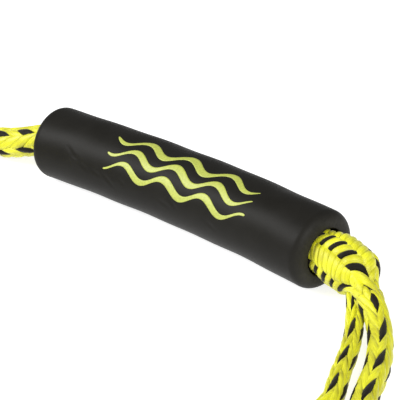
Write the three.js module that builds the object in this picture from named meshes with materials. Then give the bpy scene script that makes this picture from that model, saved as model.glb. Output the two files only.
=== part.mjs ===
// Handle section of a tow rope: a foam grip on a hollow-braided line, with a spliced tow eye
// at one end and a coiled lead with a smaller eye at the other.
// Millimetres, +Z up, +X from the coiled lead towards the tow eye. The origin is on the
// surface under the middle of the grip.
import * as THREE from 'three';
import { mergeVertices } from 'three/addons/utils/BufferGeometryUtils.js';

// Grip
const GRIP_LENGTH = 240;
const GRIP_RADIUS = 25;
const GRIP_BORE_RADIUS = 15;
const GRIP_END_ROUNDING = 7;
const GRIP_PRESSED_FLAT = 0.5;                    // soft foam settles into a narrow flat strip
const BOW_ANGLE = THREE.MathUtils.degToRad(12.6); // the grip has taken a gentle set from storage

// Line
const ROPE_DIAMETER = 14;
const ROPE_RADIUS = ROPE_DIAMETER / 2;
const SPLICED_RADIUS = 11;       // the braid swollen by the tail that is buried in it
const SPLICED_BORE_RADIUS = 7.3;
const THROAT_RADIUS = 16;        // bunched braid where the tail enters
const THROAT_NECK_RADIUS = 13.8; // where the foam still squeezes the throat
const THROAT_IN_GRIP = 6;
const THROAT_NECK_OUT = 1.5;     // clear of the grip's face, which tilts as the grip turns
const THROAT_NECK_CHAMFER = 3;
const THROAT_FLARE = 6;          // from the neck to the full bulge
const END_THROAT_RADIUS = 12;
const END_THROAT_FLARE = 7;
const END_THROAT_CHAMFER = { length: 5, depth: 1.5 };
const GAP = 0.3;                 // left between pieces that touch

// Coil of the lead
const COIL_CENTRE = new THREE.Vector2(-248.5, -85);
const COIL_INNER_TURN = 63;
const COIL_OUTER_TURN = COIL_INNER_TURN + ROPE_DIAMETER;
const COIL_BASE = 2;             // the coil lies on its two ties
const COIL_TOP_TURN_RISE = 12;   // a turn lying in the groove between two others
const COIL_CHAMFER = 3;
const TIE_WIDTH = 16;
const TIE_THICKNESS = 1.5;
const TIE_SLACK = 0.9;           // inside the coil, where the strap bridges its curve
const TIE_SHOULDER_DROP = 2.5;   // the strap bends over to the top turn below the coil's shoulder
const TIE_ANGLES = { coil_tie_a: 35, coil_tie_b: 215 };

// Curve of the grip's axis
const AXIS_HEIGHT = GRIP_RADIUS - GRIP_PRESSED_FLAT;
const BOW_RADIUS = GRIP_LENGTH / BOW_ANGLE;
const ROUNDING_START_ANGLE = (GRIP_LENGTH / 2 - GRIP_END_ROUNDING) / BOW_RADIUS;
const BOW_DEPTH_AT_ROUNDING = BOW_RADIUS * (1 - Math.cos(ROUNDING_START_ANGLE));
const LOWEST_Y = -BOW_DEPTH_AT_ROUNDING - GRIP_RADIUS * Math.cos(ROUNDING_START_ANGLE);
const BOW_MIDDLE_Y = -(GRIP_RADIUS + LOWEST_Y) / 2; // puts the origin at the middle of the grip's box

const UP = new THREE.Vector3(0, 0, 1);

// Steps of the curved shapes
const GRIP_SIDES = 32;
const LINE_SIDES = 20;
const THIN_SIDES = 16;
const ROPE_SIDES = 10;
const COIL_SIDES = 48;
const WALL_STEPS = 12;
const THROAT_STEPS = 3;
const TAPER_STEPS = 8;
const EDGE_STEPS = 4;
const DOME_STEPS = 6;
const SEARCH_STEP = 0.1;

const material = {
  foam: new THREE.MeshStandardMaterial({ color: 0x262524, roughness: 0.8, metalness: 0 }),
  rope: new THREE.MeshStandardMaterial({ color: 0xe6e61e, roughness: 0.55, metalness: 0 }),
  tie: new THREE.MeshStandardMaterial({ color: 0x1b1b1c, roughness: 0.9, metalness: 0 }),
};

const handle = new THREE.Group();

function addMesh(name, geometry, surface) {
  const mesh = new THREE.Mesh(geometry, surface.clone());
  mesh.name = name;
  handle.add(mesh);
  return mesh;
}

// The axis of the grip: an arc in a horizontal plane, by the distance from its middle.
const gripAxis = {
  at(distance) {
    const angle = distance / BOW_RADIUS;
    return {
      point: new THREE.Vector3(
        BOW_RADIUS * Math.sin(angle),
        BOW_MIDDLE_Y - BOW_RADIUS * (1 - Math.cos(angle)),
        AXIS_HEIGHT,
      ),
      tangent: new THREE.Vector3(Math.cos(angle), -Math.sin(angle), 0),
    };
  },
};

// A smooth curve through points, by the distance from its first point.
function routeAxis(points) {
  const curve = new THREE.CatmullRomCurve3(points, false, 'centripetal');
  const length = curve.getLength();
  return {
    length,
    at(distance) {
      const share = THREE.MathUtils.clamp(distance / length, 0, 1);
      return { point: curve.getPointAt(share), tangent: curve.getTangentAt(share) };
    },
  };
}

// A turned solid whose axis follows a curve. The profile's points are (radius, distance).
function turnedAlong(axis, profile, sides, reshape = (offset) => offset) {
  const geometry = new THREE.LatheGeometry(profile, sides);
  const position = geometry.getAttribute('position');
  const offset = new THREE.Vector3();
  for (let i = 0; i < position.count; i += 1) {
    const { point, tangent } = axis.at(position.getY(i));
    const side = new THREE.Vector3().crossVectors(tangent, UP).normalize();
    const above = new THREE.Vector3().crossVectors(side, tangent);
    offset.set(0, 0, 0).addScaledVector(side, position.getX(i)).addScaledVector(above, position.getZ(i));
    const vertex = point.add(reshape(offset));
    position.setXYZ(i, vertex.x, vertex.y, vertex.z);
  }
  geometry.deleteAttribute('normal');
  geometry.deleteAttribute('uv');
  const merged = mergeVertices(geometry, 1e-4);
  merged.computeVertexNormals();
  return merged;
}

// Profile points along a straight wall of the grip or line, close enough to follow the bow.
function wall(radius, from, to, steps = WALL_STEPS) {
  const points = [];
  for (let i = 0; i <= steps; i += 1) {
    points.push(new THREE.Vector2(radius, THREE.MathUtils.lerp(from, to, i / steps)));
  }
  return points;
}

// Profile points of a quarter-round edge, from one angle to another about a centre.
function roundedEdge(centreRadius, centreDistance, rounding, fromAngle, toAngle, steps = EDGE_STEPS) {
  const points = [];
  for (let i = 1; i < steps; i += 1) {
    const angle = THREE.MathUtils.lerp(fromAngle, toAngle, i / steps);
    points.push(new THREE.Vector2(
      centreRadius + rounding * Math.cos(angle),
      centreDistance + rounding * Math.sin(angle),
    ));
  }
  return points;
}

function ropeTube(points) {
  const curve = new THREE.CatmullRomCurve3(points, false, 'centripetal');
  const outline = [];
  for (let i = 0; i < ROPE_SIDES; i += 1) {
    const angle = (i / ROPE_SIDES) * 2 * Math.PI;
    outline.push(new THREE.Vector2(ROPE_RADIUS * Math.cos(angle), ROPE_RADIUS * Math.sin(angle)));
  }
  const steps = Math.ceil(curve.getLength() / ROPE_DIAMETER);
  return new THREE.ExtrudeGeometry(new THREE.Shape(outline), { steps, extrudePath: curve });
}

function toVectors(rows) {
  return rows.map(([x, y, z]) => new THREE.Vector3(x, y, z));
}

// Foam grip ------------------------------------------------------------------------------

function foamGrip() {
  const half = GRIP_LENGTH / 2;
  const roundStart = half - GRIP_END_ROUNDING;
  const roundRadius = GRIP_RADIUS - GRIP_END_ROUNDING;
  const profile = [
    ...wall(GRIP_RADIUS, -roundStart, roundStart),
    ...roundedEdge(roundRadius, roundStart, GRIP_END_ROUNDING, 0, Math.PI / 2),
    new THREE.Vector2(roundRadius, half),
    ...wall(GRIP_BORE_RADIUS, half, -half),
    new THREE.Vector2(roundRadius, -half),
    ...roundedEdge(roundRadius, -roundStart, GRIP_END_ROUNDING, -Math.PI / 2, 0),
  ];
  profile.push(profile[0].clone());
  const pressFlat = (offset) => offset.setZ(Math.max(offset.z, -AXIS_HEIGHT));
  addMesh('foam_grip', turnedAlong(gripAxis, profile, GRIP_SIDES, pressFlat), material.foam);
}

// Line through the grip: the braid and the tail buried inside it ----------------------------

const LINE_END = -GRIP_LENGTH / 2;
const LINE_START = GRIP_LENGTH / 2 - THROAT_IN_GRIP - GAP;

function lineInGrip() {
  const braid = [
    ...wall(SPLICED_RADIUS, LINE_END, LINE_START),
    ...wall(SPLICED_BORE_RADIUS, LINE_START, LINE_END),
  ];
  braid.push(braid[0].clone());
  addMesh('line_in_grip', turnedAlong(gripAxis, braid, LINE_SIDES), material.rope);
  const tail = [
    new THREE.Vector2(0, LINE_END),
    ...wall(ROPE_RADIUS, LINE_END, LINE_START),
    new THREE.Vector2(0, LINE_START),
  ];
  addMesh('buried_tail', turnedAlong(gripAxis, tail, THIN_SIDES), material.rope);
}

// Throat of the tow eye: a bulge with a round end, centred where the eye swings --------------

const THROAT_ROUTE = toVectors([
  [120, -3.9, 24.5], [130, -5, 24.2], [140, -7, 23.2], [148, -9.7, 21.3], [163, -17.2, 15.6],
]);
const SWING_CENTRE = THROAT_ROUTE[3];

function spliceThroat() {
  const inGrip = [THROAT_IN_GRIP, THROAT_IN_GRIP / 2].map(
    (depth) => gripAxis.at(GRIP_LENGTH / 2 - depth).point,
  );
  const axis = routeAxis([...inGrip, ...THROAT_ROUTE]);
  const neckEnd = THROAT_IN_GRIP + THROAT_NECK_OUT;
  let swingDistance = 0;
  while (axis.at(swingDistance).point.x < SWING_CENTRE.x) {
    swingDistance += SEARCH_STEP;
  }
  const profile = [
    new THREE.Vector2(0, 0),
    new THREE.Vector2(SPLICED_RADIUS, 0),
    new THREE.Vector2(THROAT_NECK_RADIUS, THROAT_NECK_CHAMFER),
    new THREE.Vector2(THROAT_NECK_RADIUS, neckEnd),
    ...wall(THROAT_RADIUS, neckEnd + THROAT_FLARE, swingDistance, THROAT_STEPS),
    ...roundedEdge(0, swingDistance, THROAT_RADIUS, 0, Math.PI / 2, DOME_STEPS),
    new THREE.Vector2(0, swingDistance + THROAT_RADIUS),
  ];
  addMesh('splice_throat', turnedAlong(axis, profile, LINE_SIDES), material.rope);
}

// Tow eye: one leg out of the throat, round the crown and back along the other leg ------------

const TOW_LOOP_ROUTE = toVectors([
  [162.6, -18, 14.4], [169, -22.2, 11.6], [176.4, -28.7, 9.2], [184.4, -37.9, 7.8], [192, -49.1, 7.5],
  [199.8, -62.7, 7.5], [205.4, -76.3, 7.5], [210.6, -89.4, 7.5], [215.6, -98.2, 7.4],
  [221.4, -104.4, 7.2], [229.4, -108.6, 7.2], [238.2, -115.4, 7.2], [244, -129.2, 7.2],
  [242.6, -144.4, 7.2], [234, -156, 7.2], [221.3, -161.4, 7.2], [207.5, -159, 7.2],
  [199.8, -150.4, 7.2], [196, -137.5, 7.2], [199, -124.5, 7.2], [200.2, -111.5, 7.2],
  [197.6, -98.4, 7.2], [191.6, -86.9, 7.2], [185.1, -74.3, 7.2], [177.8, -60.2, 7.2],
  [170.8, -47.8, 7.2], [163.2, -35.6, 7.2],
]);

// Lead: out of the grip's other end, down to the surface and away to the coil -----------------

const LEAD_SPLICE_ROUTE = toVectors([
  [-131, -6.1, 22.6], [-140, -8.2, 19.3], [-152, -10.6, 15.6], [-162, -12.4, 13], [-170, -12.9, 11.8],
  [-176, -12.6, 10.1], [-182, -12.2, 9.3],
]);
const SPLICE_TAPER = 18;

function leadSplice() {
  const outOfGrip = [GAP, 4].map((distance) => gripAxis.at(LINE_END - distance).point);
  const axis = routeAxis([...outOfGrip, ...LEAD_SPLICE_ROUTE]);
  const profile = [
    new THREE.Vector2(0, 0),
    ...wall(SPLICED_RADIUS, 0, axis.length - SPLICE_TAPER, TAPER_STEPS),
    new THREE.Vector2(ROPE_RADIUS, axis.length),
    new THREE.Vector2(0, axis.length),
  ];
  addMesh('lead_splice', turnedAlong(axis, profile, THIN_SIDES), material.rope);
}

const LEAD_ROUTE = toVectors([
  [-183.2, -12.1, 9.2], [-188, -11.5, 9], [-193.5, -10.9, 9],
]);

// Coil of the lead ---------------------------------------------------------------------------

function leadCoil() {
  const low = COIL_BASE;
  const shoulder = COIL_BASE + ROPE_DIAMETER;
  const top = shoulder + COIL_TOP_TURN_RISE;
  const inside = COIL_INNER_TURN - ROPE_RADIUS;
  const outside = COIL_OUTER_TURN + ROPE_RADIUS;
  const profile = [
    [inside + COIL_CHAMFER, low],
    [outside - COIL_CHAMFER, low],
    [outside, low + COIL_CHAMFER],
    [outside, shoulder - COIL_CHAMFER],
    [COIL_OUTER_TURN, top - COIL_CHAMFER],
    [COIL_OUTER_TURN - COIL_CHAMFER, top],
    [COIL_INNER_TURN + COIL_CHAMFER, top],
    [COIL_INNER_TURN, top - COIL_CHAMFER],
    [inside, shoulder - COIL_CHAMFER],
    [inside, low + COIL_CHAMFER],
    [inside + COIL_CHAMFER, low],
  ].map(([radius, height]) => new THREE.Vector2(radius, height));
  const geometry = new THREE.LatheGeometry(profile, COIL_SIDES);
  geometry.rotateX(Math.PI / 2);
  geometry.translate(COIL_CENTRE.x, COIL_CENTRE.y, 0);
  addMesh('lead_coil', geometry, material.rope);
}

// A strap round the coil's section: a closed band, wide along the turns.
function coilTie(name, angle) {
  const inside = COIL_INNER_TURN - ROPE_RADIUS - TIE_SLACK;
  const outside = COIL_OUTER_TURN + ROPE_RADIUS + GAP;
  const shoulder = COIL_BASE + ROPE_DIAMETER - TIE_SHOULDER_DROP;
  const top = COIL_BASE + ROPE_DIAMETER + COIL_TOP_TURN_RISE + GAP;
  const base = COIL_BASE - GAP;
  const strap = TIE_THICKNESS;
  const outer = new THREE.Shape([
    [inside - strap, base - strap], [outside + strap, base - strap], [outside + strap, shoulder + strap],
    [COIL_OUTER_TURN + strap, top + strap], [COIL_INNER_TURN - strap, top + strap],
    [inside - strap, shoulder + strap],
  ].map(([x, y]) => new THREE.Vector2(x, y)));
  outer.holes.push(new THREE.Path([
    [inside, base], [outside, base], [outside, shoulder], [COIL_OUTER_TURN, top],
    [COIL_INNER_TURN, top], [inside, shoulder],
  ].map(([x, y]) => new THREE.Vector2(x, y))));
  const geometry = new THREE.ExtrudeGeometry(outer, { depth: TIE_WIDTH, bevelEnabled: false });
  geometry.translate(0, 0, -TIE_WIDTH / 2);
  geometry.rotateX(Math.PI / 2);
  const tie = addMesh(name, geometry, material.tie);
  tie.rotation.z = THREE.MathUtils.degToRad(angle);
  tie.position.set(COIL_CENTRE.x, COIL_CENTRE.y, 0);
}

// End of the lead: off the coil's top turn, down beside it and into a small spliced eye --------

const END_RUN_ROUTE = toVectors([
  [-191.5, -158, 15.2], [-184, -158, 14], [-176, -157.2, 13], [-168, -155.6, 12.4],
  [-160.5, -153.6, 12.2],
]);
const END_THROAT_ROUTE = toVectors([
  [-160.1, -153.5, 12.2], [-149.5, -150.3, 12.2], [-139, -146.7, 12.2], [-129.4, -142.9, 12.2],
]);
const END_EYE_ROUTE = toVectors([
  [-128, -134.4, 11], [-122.2, -131.7, 9], [-117.5, -127.4, 7.6], [-114.4, -121.9, 7.2],
  [-105.3, -109.3, 7.2], [-90.8, -103.6, 7.2], [-75.5, -106.4, 7.2], [-64.1, -116.9, 7.2],
  [-60.1, -132, 7.2], [-64.7, -146.8, 7.2], [-76.5, -156.9, 7.2], [-91.9, -159.2, 7.2],
  [-106.1, -152.9, 7.2], [-111.6, -149.6, 7.6], [-117.8, -148.2, 9], [-124.2, -148.8, 11],
]);

function endThroat() {
  const axis = routeAxis(END_THROAT_ROUTE);
  const profile = [
    new THREE.Vector2(0, 0),
    new THREE.Vector2(ROPE_RADIUS, 0),
    new THREE.Vector2(END_THROAT_RADIUS, END_THROAT_FLARE),
    new THREE.Vector2(END_THROAT_RADIUS, axis.length - END_THROAT_CHAMFER.length),
    new THREE.Vector2(END_THROAT_RADIUS - END_THROAT_CHAMFER.depth, axis.length),
    new THREE.Vector2(0, axis.length),
  ];
  addMesh('end_throat', turnedAlong(axis, profile, THIN_SIDES), material.rope);
}

foamGrip();
lineInGrip();
spliceThroat();
addMesh('tow_loop', ropeTube(TOW_LOOP_ROUTE), material.rope);
leadSplice();
addMesh('lead_line', ropeTube(LEAD_ROUTE), material.rope);
leadCoil();
for (const [name, angle] of Object.entries(TIE_ANGLES)) {
  coilTie(name, angle);
}
addMesh('end_run', ropeTube(END_RUN_ROUTE), material.rope);
endThroat();
addMesh('end_eye', ropeTube(END_EYE_ROUTE), material.rope);

export default handle;
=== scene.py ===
import math

import bpy
import numpy as np
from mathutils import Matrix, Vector


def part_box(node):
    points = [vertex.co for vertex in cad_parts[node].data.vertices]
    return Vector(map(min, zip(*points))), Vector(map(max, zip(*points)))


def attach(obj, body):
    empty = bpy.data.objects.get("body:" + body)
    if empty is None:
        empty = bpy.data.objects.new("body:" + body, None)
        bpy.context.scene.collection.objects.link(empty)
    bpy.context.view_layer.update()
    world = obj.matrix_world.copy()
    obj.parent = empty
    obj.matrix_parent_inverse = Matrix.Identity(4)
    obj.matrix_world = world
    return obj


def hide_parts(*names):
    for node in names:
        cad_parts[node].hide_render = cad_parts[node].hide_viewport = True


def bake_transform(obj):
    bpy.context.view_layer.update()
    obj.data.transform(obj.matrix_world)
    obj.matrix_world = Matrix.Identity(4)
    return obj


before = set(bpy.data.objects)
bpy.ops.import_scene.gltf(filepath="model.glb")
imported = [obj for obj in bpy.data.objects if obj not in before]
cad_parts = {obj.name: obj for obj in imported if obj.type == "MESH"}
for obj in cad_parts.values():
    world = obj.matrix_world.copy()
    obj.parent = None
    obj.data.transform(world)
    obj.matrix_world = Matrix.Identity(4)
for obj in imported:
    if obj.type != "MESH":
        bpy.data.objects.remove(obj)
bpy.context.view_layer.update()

# A tow rope handle: a bowed foam grip on a hollow-braided line, with a spliced tow eye at one
# end and a coiled lead ending in a smaller eye at the other. Metres, +Z up. The grip's axis
# runs along +X, and angles round the grip are measured from its top towards -Y.

# Grip, as in the CAD
GRIP_LENGTH = 0.240
GRIP_RADIUS = 0.025
BORE_RADIUS = 0.015
END_ROUNDING = 0.007
PRESSED_FLAT = 0.0005
AXIS_HEIGHT = GRIP_RADIUS - PRESSED_FLAT
BOW_RADIUS = GRIP_LENGTH / math.radians(12.6)
BOW_MIDDLE_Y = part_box("foam_grip")[1][1] - GRIP_RADIUS

# Rope. The splices are drawn within 0.5 mm of the CAD's plain solids.
ROPE_RADIUS = 0.007
SPLICED_IN_GRIP = 0.0105         # radius of the swollen braid inside the grip
SPLICED_RADIUS = 0.0108
THROAT_RADIUS = 0.0165
END_THROAT_RADIUS = 0.0118
SPACING = 0.001                  # between the points of a rope's centreline
LYING_HEIGHT = 0.0072            # of a centreline where the rope lies on the floor
LYING_BELOW = 0.0079             # a centreline as low as this is lying on the floor
LIFTED_ABOVE = 0.0110            # and one as high as this is clear of it
LEAST_HEIGHT = 0.0001            # of any strand

# Length along the line of one turn of a strand
ROPE_PITCH = 0.114
SPLICED_PITCH = 0.098
IN_GRIP_PITCH = 0.075

# Angles round the line, in degrees, of a column where the strands of way 1 lie on top
THROAT_TURN = 66
SWING_TURN = 71
LEAD_TURN = 65

# Coil of the lead. Its centre and its two low turns are the CAD's.
COIL_CENTRE = np.array([-0.2485, -0.085])
COIL_INNER_TURN = 0.063
COIL_OUTER_TURN = 0.077
COIL_MIDDLE_TURN = (COIL_INNER_TURN + COIL_OUTER_TURN) / 2
COIL_LOW = 0.009
COIL_ON_TOP = COIL_LOW + 0.0121  # a turn lying in the groove between two others
COIL_CROSSING_RISE = 0.0019      # of that turn where it crosses the one below it


# Camera and light -----------------------------------------------------------------------

def direction(azimuth, elevation):
    """Unit vector from the object towards a viewpoint, angles in degrees."""
    a, e = math.radians(azimuth), math.radians(elevation)
    return Vector((math.sin(a) * math.cos(e), -math.cos(a) * math.cos(e), math.sin(e)))


# Recovered together with the grip's proportions, from its outline
CAMERA_PLACE = (0.52398, -0.55549, 0.40038)
CAMERA_AZIMUTH = 42.475
CAMERA_ELEVATION = 26.648
LENS_MM = 118.5


def add_camera():
    data = bpy.data.cameras.new("camera")
    data.lens = LENS_MM
    data.sensor_width = 36
    data.clip_start = 0.05
    camera = bpy.data.objects.new("camera", data)
    back = direction(CAMERA_AZIMUTH, CAMERA_ELEVATION)
    camera.location = CAMERA_PLACE
    camera.rotation_euler = back.to_track_quat("Z", "Y").to_euler()
    bpy.context.collection.objects.link(camera)
    bpy.context.scene.camera = camera


def add_area_light(name, place, aim, size, power):
    data = bpy.data.lights.new(name, "AREA")
    data.shape = "RECTANGLE"
    data.size, data.size_y = size
    data.energy = power
    light = bpy.data.objects.new(name, data)
    light.location = place
    light.rotation_euler = (Vector(place) - Vector(aim)).to_track_quat("Z", "Y").to_euler()
    bpy.context.collection.objects.link(light)


def add_studio():
    scene = bpy.context.scene
    scene.view_settings.view_transform = "Standard"
    world = bpy.data.worlds.new("studio")
    world.use_nodes = True
    world.node_tree.nodes["Background"].inputs["Color"].default_value = (1, 1, 1, 1)
    world.node_tree.nodes["Background"].inputs["Strength"].default_value = 0.35
    scene.world = world
    add_area_light("key", place=(-0.75, -0.85, 0.80), aim=(0, 0, 0), size=(0.6, 0.6), power=20.5)
    add_area_light("fill", place=(1.1, -0.5, 0.8), aim=(0.1, -0.05, 0), size=(0.8, 0.8), power=15)
    # The floor glows, so that almost no shadow shows on it.
    bpy.ops.mesh.primitive_plane_add(size=12)
    floor = bpy.context.object
    floor.name = "floor"
    material = new_material("floor_paper", (0.45, 0.45, 0.45), 0.9, 0.0)
    shader = material.node_tree.nodes["Principled BSDF"]
    shader.inputs["Emission Color"].default_value = (1, 1, 1, 1)
    shader.inputs["Emission Strength"].default_value = 0.80
    floor.data.materials.append(material)


# Materials --------------------------------------------------------------------------------

def new_material(name, colour, roughness, specular=0.5):
    material = bpy.data.materials.new(name)
    material.use_nodes = True
    shader = material.node_tree.nodes["Principled BSDF"]
    shader.inputs["Base Color"].default_value = (*colour, 1)
    shader.inputs["Roughness"].default_value = roughness
    shader.inputs["Specular IOR Level"].default_value = specular
    return material


# Places of a Mix node's sockets, which share their names between data types
MIX_FLOAT_A, MIX_FLOAT_B, MIX_FLOAT_RESULT = 2, 3, 0
MIX_COLOUR_A, MIX_COLOUR_B, MIX_COLOUR_RESULT = 6, 7, 2


class Nodes:
    """Short calls for building a material's node tree."""

    def __init__(self, material):
        self.tree = material.node_tree
        self.shader = self.tree.nodes["Principled BSDF"]

    def add(self, kind, **settings):
        node = self.tree.nodes.new("ShaderNode" + kind)
        for key, value in settings.items():
            if key in node.inputs:
                node.inputs[key].default_value = value
            else:
                setattr(node, key, value)
        return node

    def link(self, output, target):
        self.tree.links.new(output, target)

    def noise(self, vector, scale, detail=3.0, roughness=0.5):
        node = self.add("TexNoise", Scale=scale, Detail=detail, Roughness=roughness)
        if vector is not None:
            self.link(vector, node.inputs["Vector"])
        return node.outputs["Fac"]

    def stretched(self, vector, scale):
        node = self.add("Mapping")
        node.inputs["Scale"].default_value = scale
        self.link(vector, node.inputs["Vector"])
        return node.outputs["Vector"]

    def ramp(self, factor, stops):
        node = self.add("ValToRGB")
        for _ in stops[2:]:
            node.color_ramp.elements.new(0.5)
        for element, (position, colour) in zip(node.color_ramp.elements, stops):
            element.position = position
            element.color = (*colour, 1)
        self.link(factor, node.inputs["Fac"])
        return node.outputs["Color"]

    def span(self, factor, low, high):
        node = self.add("MapRange")
        node.inputs["To Min"].default_value = low
        node.inputs["To Max"].default_value = high
        self.link(factor, node.inputs["Value"])
        return node.outputs["Result"]

    def bump(self, height, strength, distance, normal=None):
        node = self.add("Bump", Strength=strength, Distance=distance)
        self.link(height, node.inputs["Height"])
        if normal is not None:
            self.link(normal, node.inputs["Normal"])
        return node.outputs["Normal"]


def strand_material(name, dark, light, roughness, specular):
    """Bundled filaments: fine streaks along the strand, from its own coordinates."""
    material = new_material(name, light, roughness, specular)
    nodes = Nodes(material)
    along = nodes.add("UVMap", uv_map="strand").outputs["UV"]
    place = nodes.add("TexCoord").outputs["Object"]
    fine = nodes.noise(nodes.stretched(along, (1.5, 34, 1)), 1.0, 2.0, 0.6)
    broad = nodes.noise(place, 90, 2.0)
    mixed = nodes.add("Mix", data_type="FLOAT")
    mixed.inputs["Factor"].default_value = 0.45
    nodes.link(fine, mixed.inputs[MIX_FLOAT_A])
    nodes.link(broad, mixed.inputs[MIX_FLOAT_B])
    colour = nodes.ramp(mixed.outputs[MIX_FLOAT_RESULT], [(0.32, dark), (0.62, light)])
    nodes.link(colour, nodes.shader.inputs["Base Color"])
    nodes.link(nodes.span(fine, roughness - 0.08, roughness + 0.12), nodes.shader.inputs["Roughness"])
    nodes.link(nodes.bump(fine, 0.55, 0.0006), nodes.shader.inputs["Normal"])
    nodes.shader.inputs["Sheen Weight"].default_value = 0.15
    nodes.shader.inputs["Sheen Roughness"].default_value = 0.4
    return material


def foam_material():
    """Dark foam skin, paler on the grip's rounded rims and end faces as the mesh's attribute says:
    scuffed foam, and a painted highlight there.
    """
    material = new_material("foam", (0.010, 0.0094, 0.0080), 0.5, 0.08)
    nodes = Nodes(material)
    place = nodes.add("TexCoord").outputs["Object"]
    skin = nodes.noise(place, 2600, 3.0, 0.6)
    mottle = nodes.noise(place, 60, 4.0, 0.6)
    wear_and_highlight = nodes.add("Attribute", attribute_name="wear_and_highlight").outputs["Fac"]
    colour = nodes.ramp(mottle, [(0.3, (0.0088, 0.0082, 0.0066)), (0.7, (0.0115, 0.0108, 0.0090))])
    scuff_and_highlight_noise = nodes.noise(place, 420, 5.0, 0.7)
    amount = nodes.add("Math", operation="MULTIPLY")
    nodes.link(wear_and_highlight, amount.inputs[0])
    nodes.link(nodes.ramp(scuff_and_highlight_noise, [(0.30, (0.5, 0.5, 0.5)), (0.70, (1, 1, 1))]), amount.inputs[1])
    # Paler colour on the rims and end faces: scuffed foam, and a painted highlight.
    worn_and_highlit = nodes.add("Mix", data_type="RGBA")
    nodes.link(amount.outputs[0], worn_and_highlit.inputs["Factor"])
    nodes.link(colour, worn_and_highlit.inputs[MIX_COLOUR_A])
    worn_and_highlit.inputs[MIX_COLOUR_B].default_value = (0.030, 0.0285, 0.0245, 1)
    nodes.link(worn_and_highlit.outputs[MIX_COLOUR_RESULT], nodes.shader.inputs["Base Color"])
    nodes.link(nodes.span(mottle, 0.42, 0.50), nodes.shader.inputs["Roughness"])
    nodes.link(nodes.bump(skin, 0.25, 0.0003), nodes.shader.inputs["Normal"])
    return material


def print_material():
    """Screen print that covers the foam a little unevenly."""
    material = new_material("lime_print", (0.50, 0.60, 0.055), 0.5)
    nodes = Nodes(material)
    place = nodes.add("TexCoord").outputs["Object"]
    cover = nodes.noise(place, 700, 4.0, 0.7)
    colour = nodes.ramp(cover, [(0.3, (0.29, 0.33, 0.055)), (0.6, (0.40, 0.44, 0.072))])
    nodes.link(colour, nodes.shader.inputs["Base Color"])
    nodes.link(nodes.bump(cover, 0.2, 0.0002), nodes.shader.inputs["Normal"])
    return material


def strap_material():
    """Black webbing with fine ribs, its colour painted darker in the grooves between them and paler on
    their crests, as shade.
    """
    material = new_material("strap_webbing", (0.02, 0.02, 0.021), 0.85)
    nodes = Nodes(material)
    along = nodes.add("UVMap", uv_map="strand").outputs["UV"]
    ribs = nodes.add("TexWave", Scale=5.0, Distortion=0.0)
    nodes.link(nodes.stretched(along, (12, 6, 1)), ribs.inputs["Vector"])
    nodes.link(nodes.bump(ribs.outputs["Fac"], 0.7, 0.0008), nodes.shader.inputs["Normal"])
    # Painted shade: the webbing's colour is darker in the grooves between the ribs and paler on their
    # crests.
    shaded_groove_colour = (0.010, 0.010, 0.011)
    lit_crest_colour = (0.032, 0.032, 0.034)
    colour = nodes.ramp(ribs.outputs["Fac"], [(0.0, shaded_groove_colour), (1.0, lit_crest_colour)])
    nodes.link(colour, nodes.shader.inputs["Base Color"])
    return material


# Routes -------------------------------------------------------------------------------------

def grip_axis(distance):
    """Points of the grip's bowed axis, by the distance from its middle."""
    angle = np.asarray(distance, float) / BOW_RADIUS
    return np.stack([
        BOW_RADIUS * np.sin(angle),
        BOW_MIDDLE_Y - BOW_RADIUS * (1 - np.cos(angle)),
        np.full_like(angle, AXIS_HEIGHT),
    ], axis=-1)


def evenly(points, spacing=SPACING):
    """The same line through points, as points a fixed distance apart."""
    along = np.concatenate([[0], np.cumsum(np.linalg.norm(np.diff(points, axis=0), axis=1))])
    places = np.linspace(0, along[-1], max(2, round(along[-1] / spacing) + 1))
    return np.stack([np.interp(places, along, points[:, k]) for k in range(3)], axis=1)


CURVE_STEPS = 24                 # between two points of a route


def smooth_route(points, softness=0.004):
    """A centripetal Catmull-Rom curve through points, evenly spaced and slightly softened."""
    p = np.asarray(points, float)
    p = np.concatenate([[2 * p[0] - p[1]], p, [2 * p[-1] - p[-2]]])
    pieces = []
    for p0, p1, p2, p3 in zip(p[:-3], p[1:-2], p[2:-1], p[3:]):
        t0 = 0
        t1 = t0 + math.sqrt(np.linalg.norm(p1 - p0))
        t2 = t1 + math.sqrt(np.linalg.norm(p2 - p1))
        t3 = t2 + math.sqrt(np.linalg.norm(p3 - p2))
        t = np.linspace(t1, t2, CURVE_STEPS)[:, None]
        a1 = (t1 - t) / (t1 - t0) * p0 + (t - t0) / (t1 - t0) * p1
        a2 = (t2 - t) / (t2 - t1) * p1 + (t - t1) / (t2 - t1) * p2
        a3 = (t3 - t) / (t3 - t2) * p2 + (t - t2) / (t3 - t2) * p3
        b1 = (t2 - t) / (t2 - t0) * a1 + (t - t0) / (t2 - t0) * a2
        b2 = (t3 - t) / (t3 - t1) * a2 + (t - t1) / (t3 - t1) * a3
        pieces.append((t2 - t) / (t2 - t1) * b1 + (t - t1) / (t2 - t1) * b2)
    line = evenly(np.concatenate([piece[:-1] for piece in pieces] + [pieces[-1][-1:]]))
    reach = int(3 * softness / SPACING)
    weight = np.exp(-0.5 * (np.arange(-reach, reach + 1) * SPACING / softness) ** 2)
    weight /= weight.sum()
    before = 2 * line[0] - line[reach:0:-1]
    after = 2 * line[-1] - line[-2:-reach - 2:-1]
    padded = np.concatenate([before, line, after])
    soft = np.stack([np.convolve(padded[:, k], weight, "valid") for k in range(3)], axis=1)
    return evenly(soft)


def nearest_place(line, point, after=0.0):
    """Distance along a line, beyond after, at which it passes closest to a point."""
    gaps = np.linalg.norm(line - np.array(point), axis=1)
    gaps[:int(after / SPACING)] = np.inf
    return int(np.argmin(gaps)) * SPACING


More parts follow.
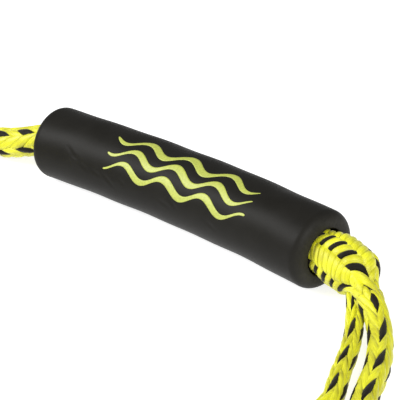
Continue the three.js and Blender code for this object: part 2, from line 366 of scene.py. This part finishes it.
# Centrelines. They follow the CAD's, apart from 1 to 2 mm at the throat and beside it.
THROAT_ROUTE = [
    (0.1300, -0.0050, 0.0242), (0.1400, -0.0070, 0.0232), (0.1480, -0.0093, 0.0214),
]
SWING_CENTRE = np.array([0.1480, -0.0097, 0.0213])   # of the eye_swing joint
TOW_LOOP_ROUTE = [
    (0.1556, -0.0136, 0.0178), (0.1635, -0.0184, 0.0142),
    (0.1700, -0.0228, 0.0114), (0.1766, -0.0288, 0.0090),
    (0.1844, -0.0379, 0.0078), (0.1920, -0.0491, 0.0075), (0.1998, -0.0627, 0.0075),
    (0.2057, -0.0763, 0.0075), (0.2111, -0.0894, 0.0075), (0.2160, -0.0984, 0.0074),
    (0.2214, -0.1044, 0.0072), (0.2294, -0.1086, 0.0072), (0.2382, -0.1154, 0.0072),
    (0.2440, -0.1292, 0.0072), (0.2426, -0.1444, 0.0072), (0.2340, -0.1560, 0.0072),
    (0.2213, -0.1614, 0.0072), (0.2075, -0.1590, 0.0072), (0.1998, -0.1504, 0.0072),
    (0.1960, -0.1375, 0.0072), (0.1990, -0.1245, 0.0072), (0.2002, -0.1115, 0.0072),
    (0.1976, -0.0984, 0.0072), (0.1916, -0.0869, 0.0072), (0.1851, -0.0743, 0.0072),
    (0.1784, -0.0597, 0.0072), (0.1718, -0.0470, 0.0072), (0.1644, -0.0349, 0.0072),
    (0.1570, -0.0240, 0.0080), (0.1515, -0.0166, 0.0105), (0.1475, -0.0116, 0.0140),
]
LEAD_ROUTE = [
    (-0.1310, -0.0061, 0.0226), (-0.1400, -0.0082, 0.0193), (-0.1520, -0.0106, 0.0156),
    (-0.1620, -0.0124, 0.0130), (-0.1700, -0.0129, 0.0118), (-0.1760, -0.0126, 0.0101),
    (-0.1832, -0.0121, 0.0092), (-0.1880, -0.0115, 0.0090), (-0.1935, -0.0109, 0.0090),
    (-0.2060, -0.0094, 0.0090), (-0.2200, -0.0083, 0.0090), (-0.2340, -0.0080, 0.0090),
]
END_RUN_ROUTE = [
    (-0.2360, -0.1565, 0.0214), (-0.2210, -0.1576, 0.0228), (-0.2080, -0.1580, 0.0206),
    (-0.1990, -0.1580, 0.0175), (-0.1915, -0.1580, 0.0152), (-0.1840, -0.1580, 0.0140),
    (-0.1760, -0.1572, 0.0130), (-0.1680, -0.1556, 0.0124), (-0.1605, -0.1536, 0.0122),
]
END_THROAT_ROUTE = [
    (-0.1495, -0.1503, 0.0122), (-0.1390, -0.1467, 0.0122), (-0.1294, -0.1429, 0.0122),
]
END_EYE_ROUTE = [
    (-0.1280, -0.1344, 0.0110), (-0.1222, -0.1317, 0.0090), (-0.1175, -0.1274, 0.0076),
    (-0.1144, -0.1219, 0.0072), (-0.1053, -0.1093, 0.0072), (-0.0908, -0.1036, 0.0072),
    (-0.0755, -0.1064, 0.0072), (-0.0641, -0.1169, 0.0072), (-0.0601, -0.1320, 0.0072),
    (-0.0647, -0.1468, 0.0072), (-0.0765, -0.1569, 0.0072), (-0.0919, -0.1592, 0.0072),
    (-0.1061, -0.1529, 0.0072), (-0.1116, -0.1496, 0.0076), (-0.1178, -0.1482, 0.0090),
    (-0.1242, -0.1488, 0.0110),
]


def ease(x, start, stop):
    """0 up to start, 1 from stop, and smooth in between."""
    t = np.clip((np.asarray(x, float) - start) / (stop - start), 0, 1)
    return t * t * (3 - 2 * t)


def coil_turns():
    """Two turns side by side on the ties, and half a turn in the groove on top of them."""
    degrees = np.arange(98, 975, 7.5)
    turned = degrees - 90        # since the lead came onto the coil
    radius = COIL_OUTER_TURN - ROPE_RADIUS * 2 * ease(turned, 270, 358)
    radius = radius + ROPE_RADIUS * ease(turned, 590, 650)
    height = COIL_LOW + (COIL_ON_TOP - COIL_LOW) * ease(turned, 575, 632)
    height = height + COIL_CROSSING_RISE * (ease(turned, 610, 640) - ease(turned, 690, 740))
    angle = np.radians(degrees)
    return np.stack([
        COIL_CENTRE[0] + radius * np.cos(angle),
        COIL_CENTRE[1] + radius * np.sin(angle),
        height,
    ], axis=1)


# Braid --------------------------------------------------------------------------------------

def carried_frames(line):
    """Two normals at each point, which follow the line without twisting round it."""
    tangent = np.gradient(line, axis=0)
    tangent /= np.linalg.norm(tangent, axis=1)[:, None]
    first = np.zeros_like(line)
    normal = np.cross(tangent[0], [0, 0, 1.0])
    for i, t in enumerate(tangent):
        normal = normal - t * (normal @ t)
        normal /= np.linalg.norm(normal)
        first[i] = normal
    return first, np.cross(tangent, first)


UV_SCALE = 100                   # of a metre, in the strands' and straps' own coordinates


def new_mesh(name, points, faces, materials, indices=None, uv=None):
    """A smooth-shaded piece; indices choose a material for each face."""
    mesh = bpy.data.meshes.new(name)
    mesh.from_pydata([tuple(p) for p in points], [], faces)
    for material in materials:
        mesh.materials.append(material)
    if indices is not None:
        mesh.polygons.foreach_set("material_index", indices)
    if uv is not None:
        layer = mesh.uv_layers.new(name="strand")
        layer.data.foreach_set("uv", np.asarray(uv, np.float32).ravel())
    mesh.polygons.foreach_set("use_smooth", [True] * len(mesh.polygons))
    mesh.update()
    piece = bpy.data.objects.new(name, mesh)
    bpy.context.collection.objects.link(piece)
    return piece


STRANDS_EACH_WAY = 8
SECTION_POINTS = 10
STRAND_FILL = 0.54               # half a strand's width, as a share of the room for one strand
COLUMNS = 4                      # round the line, where the strands of one way lie on top
STEEPNESS = 2.0                  # of a strand's step from under to over


def settled(line, outer):
    """The line, moved up or down where it lies on the floor so that the rope rests there."""
    lying = 1 - ease(line[:, 2], LYING_BELOW, LIFTED_ABOVE)
    line = line.copy()
    line[:, 2] += lying * (outer - LYING_HEIGHT)
    return line


class Braid:
    """A hollow braid round a line: eight strands wind each way, over two and under two.

    At every point of the line, outer is the braid's outer radius, pitch the length of one turn
    of a strand, crimp how far strands weave in and out, and ply half their thickness. favour is
    above 0 where the strands of way 1 show more than those of way -1. turn is the angle round
    the line of a column where way 1 lies on top. shift winds the strands further on, which
    moves their pattern along the line. turn and shift may be one value or one for every point.
    """

    def __init__(self, line, outer, pitch, crimp, ply, favour, turn=0.0, shift=0.0, seed=1):
        self.line = settled(line, outer)
        self.favour = favour
        self.first, self.second = carried_frames(self.line)
        self.places = np.arange(len(line)) * SPACING
        self.middle = outer - crimp - ply
        self.pitch, self.crimp, self.ply = pitch, crimp, ply
        wound = np.concatenate([[0], np.cumsum(2 * math.pi / pitch[:-1] * SPACING)])
        self.wound = wound + shift
        self.turn = turn if isinstance(turn, np.ndarray) else np.full(len(line), turn)
        self.random = np.random.default_rng(seed)

    def sample(self, values, places):
        """Numbers or vectors of the line's points, read at places between them."""
        if values.ndim == 1:
            return np.interp(places, self.places, values)
        index = np.clip(places / SPACING, 0, len(self.line) - 1.001)
        low = index.astype(int)
        share = (index - low)[..., None]
        return values[low] * (1 - share) + values[low + 1] * share

    def strand(self, way, number, stations, width):
        """Rings of points round one strand, one ring for each station along the line."""
        around = np.linspace(0, 2 * math.pi, SECTION_POINTS, endpoint=False)
        middle = self.sample(self.middle, stations)
        slope = np.arctan2(2 * math.pi * middle, self.sample(self.pitch, stations))
        half_width = STRAND_FILL * width * 2 * math.pi * middle / STRANDS_EACH_WAY * np.cos(slope)
        # Each strand wanders and swells a little, in its own way.
        wobble = self.random.normal(0, 1, 4)
        drift = 0.04 * np.sin(stations * 160 + wobble[0] * 3) + 0.02 * wobble[1]
        angle = way * self.sample(self.wound, stations) + 2 * math.pi * number / STRANDS_EACH_WAY
        across = half_width[:, None] * np.cos(around)
        places = stations[:, None] - way * across * np.sin(slope)[:, None]
        places = np.clip(places, stations[0], stations[-1])
        theta = (angle + drift)[:, None] + across * np.cos(slope)[:, None] / middle[:, None]
        weave = np.cos(COLUMNS * (theta - self.sample(self.turn, places)))
        weave = weave + self.sample(self.favour, places)
        over = np.tanh(STEEPNESS * weave) / math.tanh(STEEPNESS)
        puff = 1 + 0.05 * np.sin(stations * 230 + wobble[2] * 3)
        rise = self.sample(self.ply, places) * puff[:, None] * np.sin(around)
        radius = self.sample(self.middle, places) + way * self.sample(self.crimp, places) * over + rise
        outward = (np.cos(theta)[..., None] * self.sample(self.first, places)
                   + np.sin(theta)[..., None] * self.sample(self.second, places))
        points = self.sample(self.line, places) + radius[..., None] * outward
        points[..., 2] = np.maximum(points[..., 2], LEAST_HEIGHT)
        return points

    def build(self, name, start, stop, materials, step=0.0018, tracer_way=1, tracer_width=1.0):
        """One mesh of all the strands between two distances along the line.

        Every second strand of tracer_way is a black tracer, tracer_width times as wide as
        usual. The yellow strands between the tracers fill the room that this leaves.
        """
        count = max(3, round((stop - start) / step) + 1)
        stations = np.linspace(start, stop, count)
        points, faces, indices, uv = [], [], [], []
        n = SECTION_POINTS
        for way in (1, -1):
            for number in range(STRANDS_EACH_WAY):
                base = len(points) * count * n
                black = way == tracer_way and number % 2 == 0
                width = 1
                if way == tracer_way:
                    width = tracer_width if black else 2 - tracer_width
                points.append(self.strand(way, number, stations, width).reshape(-1, 3))
                for j in range(count - 1):
                    u0 = stations[j] * UV_SCALE
                    u1 = stations[j + 1] * UV_SCALE
                    for i in range(n):
                        a, b = base + j * n + i, base + j * n + (i + 1) % n
                        faces.append((a, a + n, b + n, b))
                        v0, v1 = i / n, (i + 1) / n
                        uv.extend(((u0, v0), (u1, v0), (u1, v1), (u0, v1)))
                first = list(range(base, base + n))
                last = list(range(base + (count - 1) * n, base + count * n))[::-1]
                for cap in (first, last):
                    faces.append(tuple(cap))
                    uv.extend([(0, 0)] * n)
                indices.extend([int(black)] * ((count - 1) * n + 2))
        return new_mesh(name, np.concatenate(points), faces, materials, indices, uv)


def profile(places, stops):
    """A smooth value along a rope from (distance, value) stops."""
    stops = np.array(stops)
    value = np.full_like(places, stops[0, 1])
    for (d0, v0), (d1, v1) in zip(stops[:-1], stops[1:]):
        value = np.where(places >= d0, v0 + (v1 - v0) * ease(places, d0, d1), value)
    return value


# Foam grip ----------------------------------------------------------------------------------

CREASES = [
    # distance along the grip, angle round it (degrees), half length, direction (degrees), depth
    (-0.082, 66, 0.005, 30, 0.00022),
    (-0.078, 72, 0.004, 8, 0.00026),
    (-0.070, 80, 0.006, 24, 0.00022),
    (-0.058, 84, 0.005, 12, 0.00026),
    (-0.047, 88, 0.006, 30, 0.00024),
    (-0.034, 83, 0.004, 20, 0.00020),
    (0.004, 90, 0.005, 10, 0.00024),
    (0.012, 84, 0.004, 34, 0.00020),
    (0.046, 92, 0.004, 14, 0.00018),
]


def dents(s, theta):
    """How far the foam's skin stands from its round form, at places on it."""
    wave = 0.00022 * np.sin(s * 61 + 1.3 * np.sin(theta)) * np.cos(theta * 2 + s * 17)
    wave += 0.00014 * np.sin(s * 143 + theta * 3 + 0.7)
    for place, degrees, half, lean, depth in CREASES:
        across = (theta - math.radians(degrees)) * GRIP_RADIUS
        u = (s - place) * math.cos(math.radians(lean)) + across * math.sin(math.radians(lean))
        v = -(s - place) * math.sin(math.radians(lean)) + across * math.cos(math.radians(lean))
        wave -= depth * np.exp(-(u / half) ** 2 - (v / 0.0011) ** 2)
        wave += 0.4 * depth * np.exp(-(u / half) ** 2 - ((np.abs(v) - 0.0026) / 0.0016) ** 2)
    return wave


def on_grip(s, radius, theta, proud=0.0):
    """Points round the grip's axis; theta is 0 at the top and turns towards -Y."""
    angle = np.asarray(s, float) / BOW_RADIUS
    side = np.stack([-np.sin(angle), -np.cos(angle), np.zeros_like(angle)], axis=-1)
    up = np.array([0, 0, 1.0])
    reach = np.asarray(radius + proud)[..., None]
    offset = reach * (np.sin(theta)[..., None] * side + np.cos(theta)[..., None] * up)
    floor = -AXIS_HEIGHT
    offset[..., 2] = np.maximum(offset[..., 2], floor)
    return grip_axis(s) + offset


def grip_profile():
    """(distance, radius, skin, wear and highlight) round the grip's lengthwise section, closed."""
    half = GRIP_LENGTH / 2
    flat = half - END_ROUNDING
    rows = [(s, GRIP_RADIUS, 1.0, 0.0) for s in np.linspace(-flat, flat, 260)]
    # The last value paints the rims and end faces paler: scuffed foam, and a painted highlight.
    corner = []
    for angle in np.linspace(0, math.pi / 2, 14)[1:]:
        corner.append((
            flat + END_ROUNDING * math.sin(angle),
            GRIP_RADIUS - END_ROUNDING * (1 - math.cos(angle)),
            1.0 - 0.8 * angle / (math.pi / 2),
            math.sin(angle) ** 2,
        ))
    across_face = np.linspace(GRIP_RADIUS - END_ROUNDING, BORE_RADIUS + 0.0008, 4)[1:]
    face = [(half, radius, 0.0, 0.9) for radius in across_face]
    lip = [(half - 0.0003, BORE_RADIUS + 0.0002, 0.0, 0.6), (half - 0.001, BORE_RADIUS, 0.0, 0.2)]
    end = corner + face + lip
    rows += end
    rows += [(s, BORE_RADIUS, 0.0, 0.0) for s in np.linspace(half - 0.003, -half + 0.003, 60)]
    rows += [(-s, r, skin, wear_and_highlight) for s, r, skin, wear_and_highlight in reversed(end)]
    return np.array(rows)


ROUND_GRIP = 160                 # points round the grip
FACE_ROUGHNESS = 0.00008         # of the cut foam at the grip's ends


def add_grip(foam):
    rows = grip_profile()
    around = ROUND_GRIP
    theta = np.linspace(0, 2 * math.pi, around, endpoint=False)
    s = np.repeat(rows[:, 0][:, None], around, axis=1)
    angle = np.repeat(theta[None, :], len(rows), axis=0)
    radius = rows[:, 1][:, None] + rows[:, 2][:, None] * dents(s, angle)
    random = np.random.default_rng(7)
    rough = random.normal(0, FACE_ROUGHNESS, s.shape) * rows[:, 3][:, None]
    near_face = np.abs(rows[:, 0]) > GRIP_LENGTH / 2 - 0.0012
    s = s + np.where(near_face[:, None], -np.abs(rough) * np.sign(s), 0)
    points = on_grip(s, radius, angle)
    count = len(rows)
    faces = []
    for i in range(count):
        for j in range(around):
            a = i * around + j
            b = i * around + (j + 1) % around
            c = (i + 1) % count * around + (j + 1) % around
            d = (i + 1) % count * around + j
            faces.append((a, b, c, d))
    grip = new_mesh("grip_foam", points.reshape(-1, 3), faces, [foam])
    # Paler foam on the rims and end faces, read by the foam material: scuffs, with a painted
    # highlight.
    wear_and_highlight = grip.data.attributes.new("wear_and_highlight", "FLOAT", "POINT")
    wear_and_highlight.data.foreach_set("value", np.repeat(rows[:, 3], around).astype(np.float32))
    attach(grip, "grip")
    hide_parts("foam_grip")


# Print ----------------------------------------------------------------------------------------

PRINT_START = -0.052
PRINT_STOP = 0.072
PRINT_MIDDLE = math.radians(41)
INK = 0.00012
WAVE_LINES = 3
WAVE_GAP = 0.0105                # between two lines, round the grip
WAVE_HEIGHT = 0.0036
WAVE_HALF_WIDTH = 0.0023
WAVES_IN_LINE = 3.5
WAVE_PHASE_STEP = 0.9            # from one line to the next, in radians
WAVE_STEPS = 240


def add_wave(number, print_ink):
    """One printed wave line: a thin closed sheet on the foam, thick in its middle."""
    count = WAVE_STEPS
    s = np.linspace(PRINT_START, PRINT_STOP, count)
    share = np.linspace(0, 1, count)
    taper = np.sin(math.pi * share) ** 0.35
    phase = 2 * math.pi * (share * WAVES_IN_LINE) + number * WAVE_PHASE_STEP
    middle = (number - 1) * WAVE_GAP + WAVE_HEIGHT * np.sin(phase)
    half = WAVE_HALF_WIDTH * taper * (1 + 0.35 * np.sin(phase + 1.6))
    across = np.linspace(-1, 1, 7)
    offset = middle[:, None] + half[:, None] * across[None, :]
    theta = PRINT_MIDDLE + offset / GRIP_RADIUS
    along = np.repeat(s[:, None], len(across), axis=1)
    radius = GRIP_RADIUS + dents(along, theta)
    top = on_grip(along, radius, theta, INK)
    under = on_grip(along, radius, theta, -INK)
    points = np.concatenate([top.reshape(-1, 3), under.reshape(-1, 3)])
    wide = len(across)
    below = count * wide
    faces = []
    for i in range(count - 1):
        for j in range(wide - 1):
            a = i * wide + j
            faces.append((a, a + wide, a + wide + 1, a + 1))
            faces.append((below + a, below + a + 1, below + a + wide + 1, below + a + wide))
        left, right = i * wide, i * wide + wide - 1
        faces.append((left, below + left, below + left + wide, left + wide))
        faces.append((right, right + wide, below + right + wide, below + right))
    for j in range(wide - 1):
        first, last = j, (count - 1) * wide + j
        faces.append((first, first + 1, below + first + 1, below + first))
        faces.append((last, below + last, below + last + 1, last + 1))
    wave = new_mesh(f"print_wave_{number}", points, faces, [print_ink])
    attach(wave, "grip")


# Ties -------------------------------------------------------------------------------------------

STRAP_THICKNESS = 0.0011
STRAP_HALF_WIDTH = 0.008
STRAP_CLEARANCE = 0.0009         # between the ropes and the middle of the strap
STRAP_LOWEST = 0.0011            # height of the middle of the strap where it lies on the floor
STRAP_LAP = 0.024                # the end, lapped over the start
STRAP_START = 0.30               # of the way round the coil's section
STRAP_UV_STEP = 0.1


def rounded_hull(centres, radius):
    """The tight outline round circles of one radius, as points."""
    from_circles = []
    for x, y in centres:
        for angle in np.linspace(0, 2 * math.pi, 48, endpoint=False):
            from_circles.append((x + radius * math.cos(angle), y + radius * math.sin(angle)))
    points = sorted(from_circles)

    def half(ordered):
        chain = []
        for p in ordered:
            while len(chain) > 1:
                (ax, ay), (bx, by) = chain[-2], chain[-1]
                if (bx - ax) * (p[1] - ay) - (by - ay) * (p[0] - ax) > 0:
                    break
                chain.pop()
            chain.append(p)
        return chain[:-1]

    return half(points) + half(points[::-1])


def strap_section():
    """(place across the strap, share of its thickness) round the strap's own section."""
    ring = []
    across = np.linspace(-1, 1, 9)
    for side in (1, -1):
        for a in across[::side]:
            edge = 1 - 0.55 * abs(a) ** 12
            ring.append((a * STRAP_HALF_WIDTH, side * STRAP_THICKNESS / 2 * edge))
    return ring


def add_tie(name, node, degrees, centres, strap):
    """A woven strap drawn round the coil's section, its end lapped over itself on the outside.

    degrees is its place round the coil, and centres are the (radius, height) of the ropes that
    pass there.
    """
    outline = rounded_hull(centres, ROPE_RADIUS + STRAP_CLEARANCE)
    outline = [(x, max(y, STRAP_LOWEST)) for x, y in outline]
    loop = evenly(np.array([(x, y, 0) for x, y in outline + outline[:1]]))[:-1, :2]
    count = len(loop)
    start = int(STRAP_START * count)
    order = [(start + k) % count for k in range(count + int(STRAP_LAP / SPACING))]
    ahead, behind = np.roll(loop, -1, axis=0), np.roll(loop, 1, axis=0)
    tangent = (ahead - behind) / np.linalg.norm(ahead - behind, axis=1)[:, None]
    outward = np.stack([tangent[:, 1], -tangent[:, 0]], axis=1)
    lapped = STRAP_THICKNESS * 1.15
    lift = [lapped * float(ease(k, count - 8, count + 2)) for k in range(len(order))]
    angle = math.radians(degrees)
    radial = np.array([math.cos(angle), math.sin(angle), 0])
    along_turn = np.array([-math.sin(angle), math.cos(angle), 0])
    middle = np.array([*COIL_CENTRE, 0])
    ring = strap_section()
    n = len(ring)
    points, faces, uv = [], [], []
    for k, index in enumerate(order):
        base = loop[index] + outward[index] * lift[k]
        for a, rise in ring:
            radius, height = base + outward[index] * rise
            points.append(middle + radial * radius + np.array([0, 0, height]) + along_turn * a)
    for k in range(len(order) - 1):
        u0, u1 = k * STRAP_UV_STEP, k * STRAP_UV_STEP + STRAP_UV_STEP
        for i in range(n):
            a, b = k * n + i, k * n + (i + 1) % n
            faces.append((a, b, b + n, a + n))
            v0 = ring[i][0] * UV_SCALE
            v1 = ring[(i + 1) % n][0] * UV_SCALE
            uv.extend(((u0, v0), (u0, v1), (u1, v1), (u1, v0)))
    faces.append(tuple(range(n))[::-1])
    faces.append(tuple(range((len(order) - 1) * n, len(order) * n)))
    uv.extend([(0, 0)] * 2 * n)
    tie = new_mesh(name, points, faces, [strap], uv=uv)
    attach(tie, "line")
    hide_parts(node)
    return tie


# The scene --------------------------------------------------------------------------------------

add_camera()
add_studio()
yellow = strand_material(
    "yellow_strand", dark=(0.40, 0.37, 0.002), light=(0.75, 0.75, 0.010),
    roughness=0.44, specular=0.60,
)
black = strand_material(
    "black_strand", dark=(0.005, 0.004, 0.003), light=(0.014, 0.011, 0.007),
    roughness=0.5, specular=0.10,
)
foam = foam_material()
lime = print_material()
strap = strap_material()
strands = [yellow, black]

# The tow eye's braid starts in the middle of the grip and ends in its own throat.
tow_line = smooth_route(
    list(grip_axis(np.arange(0, 0.119, 0.006))) + THROAT_ROUTE + TOW_LOOP_ROUTE
)
tow_places = np.arange(len(tow_line)) * SPACING
grip_mouth = nearest_place(tow_line, grip_axis(GRIP_LENGTH / 2))
swing = nearest_place(tow_line, SWING_CENTRE)
loop_start = swing + 0.0165
tow_end = tow_places[-1]
tow = Braid(
    tow_line,
    outer=profile(tow_places, [
        (0, SPLICED_IN_GRIP), (grip_mouth - 0.018, SPLICED_IN_GRIP), (grip_mouth - 0.004, 0.0136),
        (grip_mouth + 0.012, THROAT_RADIUS), (swing - 0.004, 0.0160),
        (swing + 0.009, 0.0088), (swing + 0.034, 0.0075), (swing + 0.12, 0.0074),
        (tow_end - 0.20, ROPE_RADIUS), (tow_end - 0.12, 0.0064),
        (tow_end - 0.05, 0.0057), (tow_end, 0.0057),
    ]),
    pitch=profile(tow_places, [
        (0, IN_GRIP_PITCH), (grip_mouth - 0.022, 0.070), (grip_mouth - 0.004, 0.036),
        (swing - 0.002, 0.034), (swing + 0.026, ROPE_PITCH), (tow_end, ROPE_PITCH),
    ]),
    crimp=profile(tow_places, [
        (0, 0.0008), (grip_mouth, 0.0011), (swing, 0.0011), (swing + 0.03, 0.0007),
    ]),
    ply=profile(tow_places, [
        (0, 0.0012), (grip_mouth, 0.0016), (swing, 0.0016), (swing + 0.03, 0.0012),
    ]),
    favour=profile(tow_places, [
        (0, 0.0), (grip_mouth, 0.20), (swing - 0.010, 0.15), (swing + 0.006, -0.05),
        (swing + 0.018, -0.22),
    ]),
    turn=profile(tow_places, [
        (grip_mouth, math.radians(THROAT_TURN)), (swing, math.radians(SWING_TURN)),
        (swing + 0.030, 0.0),
    ]),
    shift=profile(tow_places, [(swing + 0.13, 0.0), (tow_end - 0.12, 0.847)]),
    seed=11,
)
throat = tow.build(
    "throat_braid", grip_mouth - 0.006, loop_start, strands,
    step=0.0006, tracer_way=-1, tracer_width=0.80,
)
towed = tow.build("tow_loop_rope", loop_start - 0.001, tow_end, strands)

for piece, node in ((throat, "splice_throat"), (towed, "tow_loop")):
    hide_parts(node)
    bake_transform(piece)

# The lead's braid starts there too, and ends in the eye's throat beyond the coil.
lead_line = smooth_route(
    list(grip_axis(-np.arange(0, 0.125, 0.006))) + LEAD_ROUTE + list(coil_turns()) + END_RUN_ROUTE
    + END_THROAT_ROUTE + END_EYE_ROUTE
)
lead_places = np.arange(len(lead_line)) * SPACING
lead_mouth = nearest_place(lead_line, grip_axis(-GRIP_LENGTH / 2))
lead_start = lead_mouth - 0.004
taper_start = nearest_place(lead_line, (-0.164, -0.0126, 0.0127))
taper_stop = nearest_place(lead_line, (-0.184, -0.0121, 0.0092))
past_coil = taper_stop + 0.9     # beyond the turns that pass near the end's route
end_throat_start = nearest_place(lead_line, END_RUN_ROUTE[-1], after=past_coil)
end_throat_stop = nearest_place(lead_line, END_THROAT_ROUTE[-1], after=past_coil) + 0.018
lead_end = lead_places[-1]
lead = Braid(
    lead_line,
    outer=profile(lead_places, [
        (0, SPLICED_IN_GRIP), (lead_mouth - 0.01, SPLICED_IN_GRIP), (lead_mouth, SPLICED_RADIUS),
        (taper_start, SPLICED_RADIUS), (taper_stop, ROPE_RADIUS),
        (end_throat_start - 0.003, ROPE_RADIUS), (end_throat_start + 0.008, END_THROAT_RADIUS),
        (end_throat_stop - 0.022, END_THROAT_RADIUS), (end_throat_stop - 0.002, ROPE_RADIUS),
        (lead_end - 0.06, ROPE_RADIUS), (lead_end, ROPE_RADIUS - 0.0004),
    ]),
    pitch=profile(lead_places, [
        (0, IN_GRIP_PITCH), (lead_mouth - 0.02, IN_GRIP_PITCH),
        (lead_mouth, SPLICED_PITCH), (taper_start, SPLICED_PITCH),
        (taper_stop, ROPE_PITCH), (end_throat_start - 0.003, ROPE_PITCH),
        (end_throat_start + 0.008, 0.040), (end_throat_stop - 0.022, 0.040),
        (end_throat_stop - 0.002, ROPE_PITCH),
    ]),
    crimp=profile(lead_places, [(0, 0.0008), (taper_start, 0.0009), (taper_stop, 0.0007)]),
    ply=profile(lead_places, [(0, 0.0013), (taper_start, 0.0014), (taper_stop, 0.0012)]),
    favour=profile(lead_places, [(0, -0.35), (taper_start, -0.35), (taper_stop, -0.20)]),
    turn=math.radians(LEAD_TURN),
    shift=-0.54,
    seed=23,
)
lead_rope = lead.build("lead_rope", lead_start, end_throat_start + 0.001, strands)
end_throat = lead.build(
    "end_throat_braid", end_throat_start, end_throat_stop, strands, step=0.0008,
)
end_eye = lead.build("end_eye_rope", end_throat_stop - 0.001, lead_end, strands)
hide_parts("lead_splice", "lead_line", "lead_coil", "end_run")
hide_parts("end_throat")
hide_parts("end_eye")
for piece in (lead_rope, end_throat, end_eye):
    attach(piece, "line")

# At strap a one low rope is on its way from the outer turn to the inner one, and the top turn
# crosses it. At strap b two low ropes lie side by side, with the top turn in their groove.
two_ropes = [
    (COIL_OUTER_TURN - 0.0049, COIL_LOW),
    (COIL_MIDDLE_TURN, COIL_ON_TOP + COIL_CROSSING_RISE),
]
three_ropes = [
    (COIL_INNER_TURN, COIL_LOW),
    (COIL_OUTER_TURN, COIL_LOW),
    (COIL_MIDDLE_TURN, COIL_ON_TOP + 0.0004),
]
tie_a = add_tie("coil_strap_a", "coil_tie_a", 35, two_ropes, strap)
tie_b = add_tie("coil_strap_b", "coil_tie_b", 215, three_ropes, strap)

# The line inside the grip, and the tail buried in it.
inside_tow = tow.build("grip_line_tow_half", 0.0, grip_mouth - 0.0055, strands)
inside_lead = lead.build("grip_line_lead_half", 0.0, lead_mouth - 0.0035, strands)
for piece in (inside_tow, inside_lead):
    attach(piece, "line")
    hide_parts("line_in_grip")
tail_line = smooth_route(list(grip_axis(np.arange(-0.119, 0.113, 0.006))))
tail_places = np.arange(len(tail_line)) * SPACING
tail = Braid(
    tail_line,
    outer=np.full(len(tail_line), 0.0066),
    pitch=np.full(len(tail_line), ROPE_PITCH),
    crimp=np.full(len(tail_line), 0.0005),
    ply=np.full(len(tail_line), 0.0011),
    favour=np.zeros(len(tail_line)),
    seed=31,
)
buried = tail.build("buried_tail_braid", 0.0, tail_places[-1], strands)
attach(buried, "line")
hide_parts("buried_tail")

add_grip(foam)
for number in range(WAVE_LINES):
    add_wave(number, lime)
